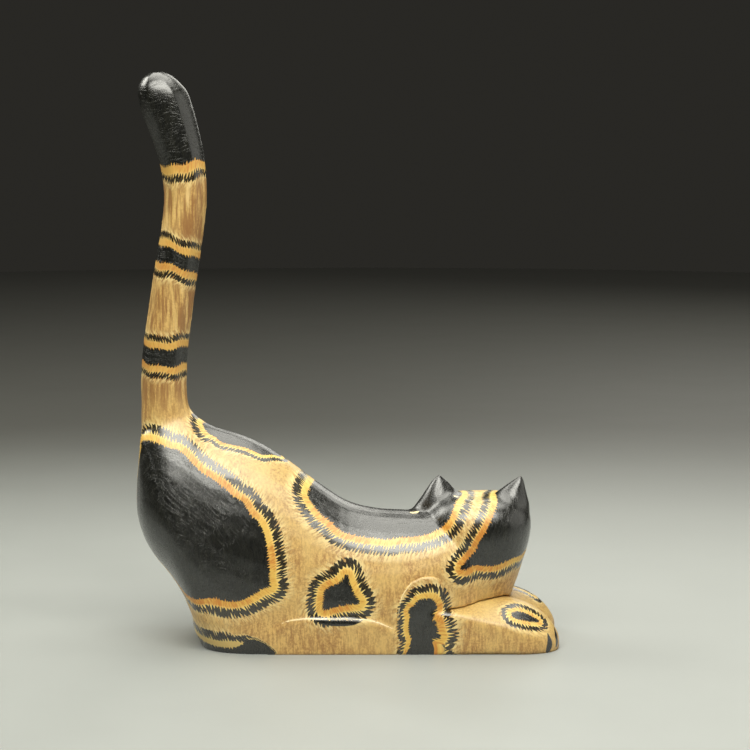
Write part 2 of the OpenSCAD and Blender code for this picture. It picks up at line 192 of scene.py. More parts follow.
# A single stroke is a few points of a smooth open line, with the stroke's half width at each.
FACE_MIDDLE = 45.5
HEEL_FUR = [
    (-50, -18, 8.2, 0.7), (-46, -21, 7, 1.0), (-41.5, -22, 6, 1.2), (-36.5, -22.5, 5.4, 1.3),
    (-31.5, -23, 4.4, 1.3), (-27.5, -23, 2.6, 1.1), (-25, -23, 0.6, 0.8),
]
BELOW_LEDGE = [
    (-11, -23, 12.0, 0.0), (-8, -23, 11.3, 0.7), (-3, -23, 11.0, 1.0), (2, -23, 11.2, 0.8),
    (5.5, -23, 12, 0.0),
]
CLAWS = [
    [(67.8, -17.5, 5.6, 0.2), (69, -19, 4.4, 0.9), (69.6, -20, 2.6, 1.3), (69, -20.5, 0.8, 0.9)],
    [(71.5, -13, 7.0, 0.3), (72.6, -15, 5.2, 1.0), (72.6, -16, 3.2, 1.1), (72, -17, 1.6, 0.5)],
]
NOSE = [(43.6, 22, 31.2, 0.5), (45.5, 23, 30.2, 1.3), (47.4, 22, 31.2, 0.5)]
LIP = [(45.5, 23, 29.5, 0.3), (45.5, 23, 25.6, 0.35)]
SMILE = [(39.6, 20, 25.6, 0.1), (41.6, 22, 23.6, 0.35), (43.8, 23, 23.8, 0.35), (45.5, 22, 25.8, 0.3)]
LID = [
    (35.6, 14, 37.6, 0.3), (37.5, 15, 36.2, 1.6), (39.5, 16, 35.4, 2.1), (41.6, 16, 34.4, 1.3),
    (43, 16, 33, 0.3),
]
IRIS = [
    (36.4, 14, 37, 0.0), (37.8, 15, 36.1, 0.9), (39.5, 16, 35.4, 1.5), (41.4, 16, 34.5, 0.8),
    (42.3, 16, 33.6, 0.0),
]
PUPIL = [(39.9, 16, 37.4, 0.4), (39.5, 16, 35.4, 0.85), (39.2, 16, 33.4, 0.4)]
# pale lines along the edge of the hind foot's ledge and of the elbow: painted highlights where these edges
# catch the light
LEDGE = [
    (-22.5, -23, 10.9, 0.18), (-19.5, -23, 12, 0.26), (-15, -23, 12.6, 0.26), (-8, -23, 12.8, 0.26),
    (2, -23, 12.8, 0.26), (8, -23, 12.2, 0.24), (12, -23, 10.9, 0.24), (17, -23, 8.6, 0.2),
]
ELBOW = [
    (17.4, -23, 8.6, 0.0), (17.6, -23, 14, 0.14), (18.6, -23, 20, 0.16), (21, -23, 25, 0.16),
    (23, -22, 27, 0.0),
]
# pale marks at the notches by the ears' feet: painted highlights where the notches catch the light
EAR_NICKS = [
    [(21.8, -1.5, 45.6, 0.3), (23.2, -2.0, 46.4, 1.1), (24.2, -2.2, 47.8, 0.3)],
    [(37, -2, 53, 0.2), (37.8, -3, 52.2, 0.7), (38.5, -4, 51.6, 0.2)],
]
EAR_INSIDES = [
    [(29.8, 8, 50.5, 1.9), (28.8, 7, 54, 1.1), (28, 6, 57, 0.3)],
    [(57.2, 5, 51, 1.9), (58.2, 4, 54, 1.1), (59, 3, 57, 0.3)],
]


def both_halves(stroke):
    """A stroke of the face, and the same stroke on its other half."""
    return [stroke, [(2 * FACE_MIDDLE - x, y, z, w) for x, y, z, w in stroke]]


def both_paws(strokes):
    """Strokes of the right paw, and the same strokes on the left paw."""
    return strokes + [[(x, -y, z, w) for x, y, z, w in stroke] for stroke in strokes]


IRISES = both_halves(IRIS)
PUPILS = both_halves(PUPIL)
# the ledge and the elbow's edge: raised a little, with painted highlight lines along them
LIT_EDGES = [LEDGE, ELBOW]
PALE_STROKES = LIT_EDGES + EAR_NICKS + EAR_INSIDES
BLACK_STROKES = [NOSE, HEEL_FUR, BELOW_LEDGE, LIP] + both_paws(CLAWS) + both_halves(SMILE) + both_halves(LID)


# ---------------------------------------------------------------- mesh helpers, in mm


def mesh_of(name, points, faces):
    mesh = bpy.data.meshes.new(name)
    mesh.from_pydata(points.tolist(), [], faces)
    return mesh


def bmesh_of(mesh):
    """A mesh as a bmesh. The mesh itself is removed."""
    bm = bmesh.new()
    bm.from_mesh(mesh)
    bpy.data.meshes.remove(mesh)
    return bm


def arrays_of(bm):
    """A bmesh's points and faces. The bmesh itself is freed."""
    bm.verts.index_update()
    points = np.array([v.co for v in bm.verts])
    faces = [[v.index for v in f.verts] for f in bm.faces]
    bm.free()
    return points, faces


def node_shape(node):
    """A CAD node's welded points and faces, and the points' normals."""
    bm = bmesh.new()
    bm.from_mesh(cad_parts[node].data)
    bmesh.ops.remove_doubles(bm, verts=bm.verts, dist=1e-6)
    bmesh.ops.recalc_face_normals(bm, faces=bm.faces)
    bm.normal_update()
    normals = np.array([v.normal for v in bm.verts])
    points, faces = arrays_of(bm)
    return points * 1000, faces, normals


def joined(shapes):
    """Several (points, faces) as one."""
    points, faces, first = [], [], 0
    for p, f in shapes:
        points.append(p)
        faces += [[first + i for i in face] for face in f]
        first += len(p)
    return np.concatenate(points), faces


def normals_of(points, faces):
    mesh = mesh_of("normals", points, faces)
    out = np.empty(len(points) * 3, np.float32)
    mesh.vertex_normals.foreach_get("vector", out)
    bpy.data.meshes.remove(mesh)
    return out.reshape(-1, 3).astype(float)


def remeshed(points, faces, voxel):
    """Even quads over the outside of a closed shape, without any inner island."""
    o = bpy.data.objects.new("raw", mesh_of("raw", points, faces))
    bpy.context.scene.collection.objects.link(o)
    m = o.modifiers.new("remesh", "REMESH")
    m.mode = "VOXEL"
    m.voxel_size = voxel
    done = bpy.data.meshes.new_from_object(o.evaluated_get(bpy.context.evaluated_depsgraph_get()))
    bpy.data.objects.remove(o)
    bm = bmesh_of(done)
    keep_largest_island(bm)
    bmesh.ops.triangulate(bm, faces=[f for f in bm.faces if len(f.verts) > 4])
    return arrays_of(bm)


def keep_largest_island(bm):
    unseen = set(bm.verts)
    largest = []
    while unseen:
        island, frontier = [], [unseen.pop()]
        while frontier:
            v = frontier.pop()
            island.append(v)
            for e in v.link_edges:
                w = e.other_vert(v)
                if w in unseen:
                    unseen.discard(w)
                    frontier.append(w)
        largest = max(largest, island, key=len)
    keep = set(largest)
    bmesh.ops.delete(bm, geom=[v for v in bm.verts if v not in keep], context="VERTS")


def neighbour_mean(faces, n):
    """A function that gives the mean of each point's neighbours."""
    pairs = {(min(a, b), max(a, b)) for f in faces for a, b in zip(f, f[1:] + f[:1])}
    a, b = np.array(sorted(pairs)).T
    count = (np.bincount(a, minlength=n) + np.bincount(b, minlength=n))[:, None]

    def mean(p):
        total = [np.bincount(a, p[b, k], n) + np.bincount(b, p[a, k], n) for k in range(3)]
        return np.stack(total, axis=1) / count

    return mean


def relaxed(points, faces, rounds):
    """Smooths away the voxel steps without shrinking the shape."""
    mean = neighbour_mean(faces, len(points))
    base = points[:, 2] < HELD_BELOW
    p = points.copy()
    for _ in range(rounds):
        for step in (0.5, -0.52):
            p += step * (mean(p) - p)
            p[base, 2] = points[base, 2]
    return p


def softened(points, faces, middle, radius):
    """Rounds off creases near a place, most at its middle."""
    mean = neighbour_mean(faces, len(points))
    gap = np.linalg.norm(points - np.array(middle), axis=1)
    share = np.clip(1.5 * (1 - gap / radius), 0, 1)[:, None] * 0.6
    p = points.copy()
    for _ in range(SOFTENING):
        p += share * (mean(p) - p)
    return p


def nudged(points, middle, reach, shift):
    """Moves the points near a place, most at its middle and none beyond its reach."""
    gap = np.linalg.norm((points - np.array(middle)) / np.array(reach), axis=1)
    share = np.clip(1 - gap, 0, 1)
    share = share**2 * (3 - 2 * share)
    return points + share[:, None] * np.array(shift)


def carved(points, faces):
    """The soft waves that a knife and sandpaper leave, none on the flat base."""
    elsewhere = Vector((7, 3, 1))
    wave = np.array([
        noise.noise(Vector(p) / WAVE_LENGTH) + 0.45 * noise.noise(Vector(p) / RIPPLE_LENGTH + elsewhere)
        for p in points
    ])
    lift = np.clip((points[:, 2] - WAVE_START) / WAVE_GROWTH, 0, 1)
    out = points + normals_of(points, faces) * (wave * WAVE_DEPTH * lift)[:, None]
    out[:, 2] = np.maximum(out[:, 2], 0)
    out[points[:, 2] < FLAT_BELOW, 2] = 0
    return out


def raised(points, faces, tree, strokes, height, spread):
    """Lifts the surface along some strokes, such as a carved edge or an eye."""
    gap = np.maximum(stroke_field(strokes, tree, points), 0)
    return points + normals_of(points, faces) * (height * np.exp(-((gap / spread) ** 2)))[:, None]


# ---------------------------------------------------------------- where the paint goes


def smooth_line(knots, spacing, closed):
    """Points a spacing apart on a smooth line through the knots."""
    n = len(knots)
    out = []
    for i in range(n if closed else n - 1):
        if closed:
            a, b, c, d = (knots[(i + k) % n] for k in (-1, 0, 1, 2))
        else:
            a, b, c, d = (knots[min(max(i + k, 0), n - 1)] for k in (-1, 0, 1, 2))
        steps = max(1, round(np.linalg.norm(c[:3] - b[:3]) / spacing))
        for t in np.arange(steps) / steps:
            bend = (2 * a - 5 * b + 4 * c - d) * t**2 + (3 * b - a - 3 * c + d) * t**3
            out.append(b + 0.5 * ((c - a) * t + bend))
    if not closed:
        out.append(knots[-1])
    return np.array(out)


def on_surface(points, tree):
    """The points dropped on to the surface, and its normals there."""
    found = [tree.find_nearest(Vector(p[:3])) for p in points]
    return np.array([f[0] for f in found]), np.array([f[1] for f in found])


def nearest_on(curve, points):
    """Nearest place on a closed curve: distance along it, offset to the point, segment and share of it."""
    seg = np.roll(curve, -1, axis=0) - curve
    length = np.linalg.norm(seg, axis=1)
    start = np.concatenate([[0], np.cumsum(length)[:-1]])
    best = np.full(len(points), np.inf)
    along = np.zeros(len(points))
    offset = np.zeros((len(points), 3))
    which = np.zeros(len(points), int)
    share = np.zeros(len(points))
    for i in range(len(curve)):
        t = np.clip((points - curve[i]) @ seg[i] / length[i] ** 2, 0, 1)
        off = points - curve[i] - t[:, None] * seg[i]
        dist = (off**2).sum(1)
        better = dist < best
        best[better] = dist[better]
        along[better] = start[i] + t[better] * length[i]
        offset[better] = off[better]
        which[better] = i
        share[better] = t[better]
    return along, offset, which, share, length.sum()


def unit(vectors):
    return vectors / (np.linalg.norm(vectors, axis=1)[:, None] + 1e-9)


def inward_of(curve, normals):
    """The way into a closed curve, across each of its steps and at each corner between two steps."""
    step = unit(np.cross(normals, np.roll(curve, -1, axis=0) - curve))
    if np.median(((curve.mean(0) - curve) * step).sum(1)) < 0:
        step = -step
    return step, unit(step + np.roll(step, 1, axis=0))


def patch_field(outline, width, tree, points, normals, reach=14):
    """Signed distance to a patch's edge in ring widths, negative inside, and distance along its zigzag."""
    knots = np.array([p if len(p) == 4 else (*p, width) for p in outline], float)
    knots[:, :3], _ = on_surface(knots, tree)
    line = smooth_line(knots, EDGE_STEP, closed=True)
    curve, curve_n = on_surface(line, tree)
    widths = line[:, 3]
    distance = np.full(len(points), FAR)
    along = np.zeros(len(points))
    near = np.flatnonzero(((points > curve.min(0) - reach) & (points < curve.max(0) + reach)).all(1))
    if len(near) == 0:
        return distance, along, 1.0
    _, off, which, share, _ = nearest_on(curve, points[near])
    step, corner = inward_of(curve, curve_n)
    inward = np.where((share <= 0)[:, None], corner[which], step[which])
    inward = np.where((share >= 1)[:, None], corner[(which + 1) % len(curve)], inward)
    inside = (off * inward).sum(1) > 0
    # the zigzag's own line, a smoothed copy of the edge, so that its strokes stay evenly wide
    zigzag = curve - corner * ZIGZAG_MIDDLE * widths[:, None]
    for _ in range(ZIGZAG_SMOOTHING):
        zigzag = (np.roll(zigzag, 1, axis=0) + zigzag + np.roll(zigzag, -1, axis=0)) / 3
    s, _, _, _, total = nearest_on(on_surface(zigzag, tree)[0], points[near])
    d = np.linalg.norm(off, axis=1)
    # a point on the far side of a thin part isn't in the patch
    behind = ((normals[near] * curve_n[which]).sum(1) < -0.6) & (d > 5)
    distance[near] = np.where(behind, FAR, np.where(inside, -d, d) / widths[which])
    along[near] = s
    return distance, along, total


def stroke_field(strokes, tree, points, reach=4.0):
    """Distance outside the nearest of some strokes, negative on one."""
    field = np.full(len(points), FAR)
    for stroke in strokes:
        knots = np.array(stroke, float)
        knots[:, :3], _ = on_surface(knots, tree)
        line = smooth_line(knots, LINE_STEP, closed=False)
        line[:, :3], _ = on_surface(line, tree)
        low = line[:, :3].min(0) - reach
        high = line[:, :3].max(0) + reach
        near = np.flatnonzero(((points > low) & (points < high)).all(1))
        for a, b in zip(line, line[1:]):
            seg = b[:3] - a[:3]
            t = np.clip((points[near] - a[:3]) @ seg / max(seg @ seg, 1e-9), 0, 1)
            gap = np.linalg.norm(points[near] - a[:3] - t[:, None] * seg, axis=1)
            field[near] = np.minimum(field[near], gap - a[3] - t * (b[3] - a[3]))
    return field


def tail_middles(points):
    """The X of the tail's middle at heights up it, and those heights. Both are empty off the tail."""
    heights, middles = [], []
    for h in TAIL_HEIGHTS:
        x = points[np.abs(points[:, 2] - h) < TAIL_SLICE, 0]
        if len(x) and x.max() < TAIL_FRONT:
            heights.append(h)
            middles.append((x.min() + x.max()) / 2)
    return heights, middles


def tail_fields(points):
    """Each band of the tail: signed distance along the tail, and distance round it."""
    heights, middles = tail_middles(points)
    if not heights:
        return []
    up = points[:, 2]
    forward = points[:, 0] - np.interp(up, heights, middles)
    on_tail = (up > TAIL_FOOT) & (points[:, 0] < TAIL_FRONT)
    angle = np.arctan2(points[:, 1], forward)
    wobble = 0.5 * np.sin(2 * angle + up / 9) + 0.35 * np.sin(5 * angle + up / 5)
    out = []
    for low, high, drop, width in BANDS:
        h = up + drop * forward + wobble
        d = np.maximum(low - h, h - high) / width
        # the zigzag is thinner here than round a patch
        thin = np.where(d > RING, RING + 1.5 * (d - RING), d)
        out.append((np.where(on_tail, thin, FAR), angle * TAIL_RADIUS, 2 * math.pi * TAIL_RADIUS))
    return out


def paint_fields(points, normals, faces, tree):
    """Per face corner: distance along the nearest zigzag, signed distance to its patch, a seed, and marks."""
    fields = [patch_field(outline, width, tree, points, normals) for outline, width in PATCHES]
    fields += tail_fields(points)
    d_all = np.array([f[0] for f in fields])
    s_all = np.array([f[1] for f in fields])
    totals = np.array([f[2] for f in fields])
    corners = np.concatenate([np.array(f) for f in faces])
    sizes = np.array([len(f) for f in faces])
    first = np.concatenate([[0], np.cumsum(sizes)[:-1]])
    # each face takes one patch, the nearest, and its corners count along the same turn of its edge
    patch = np.repeat((np.add.reduceat(d_all[:, corners], first, axis=1) / sizes).argmin(0), sizes)
    s = s_all[patch, corners]
    total = totals[patch]
    s = s - total * np.round((s - np.repeat(s[first], sizes)) / total)
    # whole strokes round each loop
    s = s * (np.round(total / STROKE) * STROKE / total)
    paint = np.stack([s, d_all.min(0)[corners], patch * SEED_STEP], axis=1)
    black = stroke_field(BLACK_STROKES, tree, points)
    pale = stroke_field(PALE_STROKES, tree, points)
    iris = np.maximum(stroke_field(IRISES, tree, points), -stroke_field(PUPILS, tree, points))
    marks = np.stack([black, pale, iris], axis=1)[corners]
    return paint, marks


# ---------------------------------------------------------------- node graphs


class Graph:
    """Builds a material's nodes from short expressions. Lengths are in mm."""

    def __init__(self, name):
        self.mat = bpy.data.materials.new(name)
        self.mat.use_nodes = True
        self.tree = self.mat.node_tree
        self.tree.nodes.clear()

    def node(self, kind, inputs=None, **settings):
        n = self.tree.nodes.new(kind)
        for key, value in settings.items():
            setattr(n, key, value)
        for key, value in (inputs or {}).items():
            if isinstance(value, bpy.types.NodeSocket):
                self.tree.links.new(value, n.inputs[key])
            else:
                n.inputs[key].default_value = value
        return n

    def math(self, operation, *values, clamp=False):
        n = self.node("ShaderNodeMath", dict(enumerate(values)), operation=operation, use_clamp=clamp)
        return n.outputs[0]

    def add(self, a, b):
        return self.math("ADD", a, b)

    def mul(self, a, b):
        return self.math("MULTIPLY", a, b)

    def fma(self, a, b, c):
        return self.math("MULTIPLY_ADD", a, b, c)

    def rest(self, a):
        """What a leaves of 1."""
        return self.math("SUBTRACT", 1.0, a)

    def total(self, *terms):
        """The sum of some (value, weight)."""
        value, weight = terms[0]
        out = self.mul(value, weight)
        for value, weight in terms[1:]:
            out = self.fma(value, weight, out)
        return out

    def rise(self, x, start, end):
        """0 at the start and before it, 1 at the end and past it, smooth between."""
        inputs = {"Value": x, "From Min": start, "From Max": end}
        return self.node("ShaderNodeMapRange", inputs, interpolation_type="SMOOTHSTEP").outputs[0]

    def spread(self, x, low, high):
        """Low where x is 0, high where it is 1."""
        return self.node("ShaderNodeMapRange", {"Value": x, "To Min": low, "To Max": high}).outputs[0]

    def vector(self, x, y, z):
        return self.node("ShaderNodeCombineXYZ", {"X": x, "Y": y, "Z": z}).outputs[0]

    def split(self, vector):
        return self.node("ShaderNodeSeparateXYZ", {0: vector}).outputs

    def attribute(self, name):
        """The three numbers of an attribute of the mesh."""
        return self.split(self.node("ShaderNodeAttribute", attribute_name=name).outputs["Vector"])

    def place(self, sx=1.0, sy=1.0, sz=1.0):
        """Where the point is on the piece, in mm, stretched."""
        inputs = {"Vector": self.node("ShaderNodeTexCoord").outputs["Object"]}
        inputs["Scale"] = (1000 * sx, 1000 * sy, 1000 * sz)
        return self.node("ShaderNodeMapping", inputs).outputs[0]

    def noise(self, where, detail=2.0, rough=0.5):
        inputs = {"Vector": where, "Scale": 1.0, "Detail": detail, "Roughness": rough}
        return self.node("ShaderNodeTexNoise", inputs).outputs["Fac"]

    def luck(self, number):
        """A random number from 0 to 1, always the same one for the same input."""
        return self.node("ShaderNodeTexWhiteNoise", {"W": number}, noise_dimensions="1D").outputs["Value"]

    def mix(self, amount, a, b):
        return self.node("ShaderNodeMix", {0: amount, 6: a, 7: b}, data_type="RGBA").outputs[2]

    def glaze(self, colour, paint, share, strength):
        """The colour under a coat of paint, which covers that strongly where the share is 1."""
        return self.mix(self.mul(share, strength), colour, paint)

    def bump(self, height, strength, depth):
        """A relief that deep, in metres."""
        inputs = {"Strength": strength, "Distance": depth, "Height": height}
        return self.node("ShaderNodeBump", inputs).outputs[0]

    def finish(self, inputs):
        shader = self.node("ShaderNodeBsdfPrincipled", inputs)
        self.node("ShaderNodeOutputMaterial", {"Surface": shader.outputs[0]})
        return self.mat


class Paint(Graph):
    """The painted wood's nodes, with what all its layers share.

    s is the distance along the nearest patch's zigzag, d the distance out from its black edge in ring
    widths, and seed a number for each patch. drawn, the pale strokes and iris are distances outside single
    strokes; the pale strokes are painted highlights along lit edges and at the ears' nicks, and pale paint
    inside the ears.
    """

    def __init__(self, name):
        super().__init__(name)
        self.s, self.d, self.seed = self.attribute("paint")
        self.drawn, self.worn, self.iris = self.attribute("mark")
        x, _, height = self.split(self.place())
        self.upward = self.split(self.node("ShaderNodeTexCoord").outputs["Normal"])[2]
        self.on_tail = self.rise(height, 75.0, 90.0)
        self.on_heel = self.mul(self.rise(height, 10.0, 7.0), self.rise(x, -22.0, -28.0))
        self.lean = self.fma(self.d, 0.4, self.s)  # brush strokes lean over as they leave the edge
        self.sway = self.fma(self.noise(self.vector(self.mul(self.s, 0.12), self.seed, 3.0)), 2.0, -1.0)
        self.bristle = self.hairs(2.0, 0.35)
        self.streak = self.noise(self.place(1.2, 1.2, 0.2), detail=3.0, rough=0.65)
        self.speckle = self.noise(self.place(1.5, 1.5, 1.3), detail=3.0, rough=0.7)

    def hairs(self, across, along, other=0.0):
        """Noise drawn out along the brush strokes."""
        where = self.vector(self.mul(self.lean, across), self.mul(self.d, along), self.add(self.seed, other))
        return self.noise(where, rough=0.6)

    def teeth(self, offset, sharp):
        """Pointed strokes along the ring, 0 between them and 1 at a point, each with its own length."""
        drift = self.noise(self.vector(self.mul(self.s, 0.3), self.seed, offset), detail=1.0)
        strokes = self.math("DIVIDE", self.fma(self.d, 0.35, self.s), STROKE)
        count = self.add(strokes, self.fma(drift, 2.0, offset))
        peak = self.math("ABSOLUTE", self.fma(self.math("FRACT", count), 2.0, -1.0))
        luck = self.luck(self.add(self.math("FLOOR", self.add(count, 0.5)), self.seed))
        point = self.math("MAXIMUM", self.fma(peak, 1 / (1 - sharp), -sharp / (1 - sharp)), 0.0)
        return self.mul(point, self.fma(luck, 1.1, 0.2))

    def within(self, edge, soft=0.12):
        """1 as far out as that edge, 0 past it."""
        return self.rest(self.rise(self.math("SUBTRACT", self.d, edge), -soft, soft))


# ---------------------------------------------------------------- materials


def srgb(r, g, b):
    """A colour given as screen values from 0 to 255."""
    return tuple(((c / 255 + 0.055) / 1.055) ** 2.4 for c in (r, g, b)) + (1,)


# Ground
OCHRE_DEEP = srgb(162, 117, 60)
OCHRE = srgb(218, 178, 104)
OCHRE_PALE = srgb(222, 188, 114)
# painted sheen, for ground that faces up
OCHRE_SHEEN = srgb(200, 174, 104)
TAIL_BROWN = srgb(140, 92, 42)
TAIL_CREAM = srgb(232, 200, 138)
FUR_DARK = srgb(152, 110, 56)
FUR_PALE = srgb(236, 212, 146)
# Rings
ORANGE = srgb(200, 126, 34)
YELLOW = srgb(228, 186, 84)
RING_CREAM = srgb(246, 216, 128)
# painted sheen, for rings that face up
RING_SHEEN = srgb(228, 206, 122)
RING_ON_TAIL = srgb(196, 146, 78)
RING_ON_HEEL = srgb(216, 190, 116)
# Patches and single strokes
SOOT = srgb(8, 9, 6)
SOOT_WORN = srgb(24, 24, 18)
SCRATCH = srgb(58, 58, 49)
# painted highlight along lit edges and nicks, and also the pale paint inside the ears
PALE_AND_HIGHLIGHT = srgb(248, 228, 176)
IRIS_DEEP = srgb(196, 160, 44)
IRIS_PALE = srgb(226, 200, 90)
# Bare wood and floor
WOOD_DEEP = srgb(176, 136, 86)
WOOD_PALE = srgb(222, 190, 140)
WOOD_FLECK = srgb(140, 100, 60)
FLOOR_DEEP = srgb(144, 147, 144)
FLOOR_PALE = srgb(154, 157, 154)
FLOOR_FAR = srgb(80, 80, 76)


def zones(g):
    """How far a point is in its patch, in the ring round that, and in the zigzag round the ring."""
    frayed = g.fma(g.bristle, 0.7, -0.35)
    black_end = g.add(g.fma(g.teeth(5.3, 0.3), -0.8, 0.35), g.add(frayed, g.mul(g.sway, 0.25)))
    ring_end = g.add(g.fma(g.teeth(0.0, 0.3), 1.85, RING - 0.45), g.mul(g.sway, 0.5))
    zigzag_end = g.add(g.fma(g.teeth(9.1, 0.25), -1.9, ZIGZAG + 0.75), g.mul(g.sway, 0.6))
    on_ring = g.within(ring_end)
    return g.within(black_end), on_ring, g.mul(g.within(zigzag_end), g.rest(on_ring))


def ground_colour(g):
    """Even ochre with fine grain, streaked on the tail and furry near the rings."""
    grain = g.total((g.streak, 0.55), (g.speckle, 0.45))
    colour = g.mix(g.rise(grain, 0.38, 0.62), OCHRE_DEEP, OCHRE)
    blotch = g.noise(g.place(0.1, 0.1, 0.07))
    colour = g.glaze(colour, OCHRE_PALE, g.rise(blotch, 0.4, 0.7), 0.5)
    # painted sheen: paler where it faces up, standing in for the lamps' sheen on its tops
    sheen_share = g.spread(g.rise(g.speckle, 0.35, 0.6), 0.15, 0.6)
    colour = g.glaze(colour, OCHRE_SHEEN, g.rise(g.upward, 0.1, 0.8), sheen_share)
    # long brown and cream streaks up the tail
    run = g.noise(g.place(0.55, 0.55, 0.05), detail=3.0, rough=0.6)
    colour = g.glaze(colour, TAIL_BROWN, g.mul(g.on_tail, g.rise(run, 0.43, 0.58)), 0.8)
    colour = g.glaze(colour, TAIL_CREAM, g.mul(g.on_tail, g.rise(run, 0.42, 0.32)), 0.6)
    # dark fur round the patches, and pale fur over it, next to the zigzags
    around = g.rest(g.rise(g.d, 7.0, 11.5))
    dark_hairs = g.rise(g.hairs(1.7, 0.4, 5.0), 0.5, 0.64)
    colour = g.glaze(colour, FUR_DARK, g.mul(around, dark_hairs), 0.55)
    beside = g.rest(g.rise(g.d, ZIGZAG, ZIGZAG + 4.5))
    pale_hairs = g.rise(g.hairs(1.4, 0.3), 0.44, 0.56)
    return g.glaze(colour, FUR_PALE, g.mul(beside, pale_hairs), 0.85)


def ring_colour(g):
    """Orange in places and yellow in others, streaked across, and cream at its teeth."""
    big = g.noise(g.place(0.06, 0.06, 0.06), detail=1.0)
    hue = g.total((big, 1.1), (g.bristle, 1.2))
    colour = g.mix(g.rise(hue, 0.9, 1.36), ORANGE, YELLOW)
    colour = g.glaze(colour, RING_CREAM, g.rise(g.fma(g.bristle, 1.6, g.d), 2.6, 4.0), 0.85)
    # painted sheen: paler where it faces up, standing in for the lamps' sheen on its tops. Duller on the tail
    # and the heels
    sheen_share = g.spread(g.rise(g.bristle, 0.35, 0.65), 0.15, 0.75)
    colour = g.glaze(colour, RING_SHEEN, g.rise(g.upward, 0.3, 0.9), sheen_share)
    colour = g.glaze(colour, RING_ON_TAIL, g.on_tail, 0.45)
    return g.glaze(colour, RING_ON_HEEL, g.on_heel, 0.85)


def black_share(g, on_black, in_zigzag):
    """Where the black paint lies: on patches, on zigzags and on single strokes."""
    heel_teeth = g.mul(g.mul(g.teeth(3.1, 0.1), g.on_heel), 1.5)
    drawn = g.rest(g.rise(g.add(g.fma(g.bristle, -0.3, g.drawn), heel_teeth), -0.27, -0.05))
    painted = g.math("MAXIMUM", on_black, g.mul(in_zigzag, 0.97))
    return g.math("MAXIMUM", painted, drawn, clamp=True)


def painted_wood():
    """Ochre ground with brushed fur, black patches, and their orange and zigzag rings."""
    g = Paint("painted_wood")
    on_black, on_ring, in_zigzag = zones(g)
    black = black_share(g, on_black, in_zigzag)
    scratch = g.noise(g.vector(g.mul(g.s, 0.22), g.mul(g.d, 2.6), g.seed), detail=3.0, rough=0.7)
    scratched = g.mul(g.rise(scratch, 0.5, 0.72), on_black)
    # pale strokes: painted highlights along lit edges and at the ears' nicks, and pale paint inside the ears
    worn = g.rest(g.rise(g.fma(g.speckle, 0.3, g.worn), 0.05, 0.22))
    soot = g.mix(g.rise(g.streak, 0.35, 0.7), SOOT, SOOT_WORN)
    amber = g.mix(g.rise(g.speckle, 0.35, 0.65), IRIS_DEEP, IRIS_PALE)
    colour = g.mix(on_ring, ground_colour(g), ring_colour(g))
    colour = g.mix(black, colour, soot)
    colour = g.glaze(colour, SCRATCH, scratched, 0.28)
    colour = g.glaze(colour, PALE_AND_HIGHLIGHT, worn, 0.9)
    colour = g.mix(g.rest(g.rise(g.iris, -0.1, 0.1)), colour, amber)
    fine = g.noise(g.place(1.6, 1.6, 0.5), detail=4.0, rough=0.6)
    relief = g.total((fine, 0.5), (g.bristle, 0.3), (black, 0.2), (scratched, 0.7))
    return g.finish({
        "Base Color": colour,
        "Roughness": g.add(g.spread(black, 0.46, 0.27), g.fma(fine, 0.16, -0.08)),
        "Normal": g.bump(relief, 0.5, 0.00012),
        "Specular IOR Level": 0.9,
        "Coat Weight": g.spread(black, 0.12, 0.6),
        "Coat Roughness": 0.26,
    })


def bare_wood():
    """Pale turned dowel and cut faces, with grain along the piece."""
    g = Graph("bare_wood")
    grain = g.noise(g.place(1.6, 1.6, 0.2), detail=4.0, rough=0.6)
    fleck = g.noise(g.place(5, 5, 0.8))
    colour = g.mix(g.rise(grain, 0.3, 0.7), WOOD_DEEP, WOOD_PALE)
    return g.finish({
        "Base Color": g.glaze(colour, WOOD_FLECK, g.rise(fleck, 0.6, 0.75), 0.4),
        "Roughness": g.spread(grain, 0.6, 0.75),
        "Normal": g.bump(fleck, 0.4, 0.0001),
    })


def floor_paint():
    """Pale grey, darker in the distance."""
    g = Graph("floor")
    haze = g.noise(g.place(0.02, 0.02, 0.02), detail=3.0)
    near = g.mix(haze, FLOOR_DEEP, FLOOR_PALE)
    out = g.node("ShaderNodeVectorMath", {0: g.place(sy=1.5)}, operation="LENGTH").outputs["Value"]
    return g.finish({
        "Base Color": g.mix(g.rise(out, 180.0, 750.0), near, FLOOR_FAR),
        "Roughness": g.spread(haze, 0.5, 0.6),
    })


# ---------------------------------------------------------------- shapes, in mm


def ear_plane(seat, side):
    up = Vector((side * math.sin(EAR_LEAN), 0, math.cos(EAR_LEAN)))
    return seat + up * EAR_FOOT, up


def arm_filler(node):
    """Fills the pocket behind a foreleg, level with the flank."""
    points, faces, _ = node_shape(node)
    bm = bmesh_of(mesh_of(node, points, faces))
    bmesh.ops.bisect_plane(
        bm, geom=bm.verts[:] + bm.edges[:] + bm.faces[:], plane_co=(FILLER_FRONT, 0, 0), plane_no=(1, 0, 0),
        clear_outer=True,
    )
    bmesh.ops.holes_fill(bm, edges=[e for e in bm.edges if e.is_boundary])
    p, f = arrays_of(bm)
    middle = np.array(FILLER_MIDDLE)
    grown = middle + (p - middle) * FILLER_GROWTH
    outer = np.abs(p[:, 1]) > FILLER_OUTER
    grown[:, 1] -= np.sign(p[:, 1]) * np.where(outer, ARM_PROUD, 0)
    return grown, f


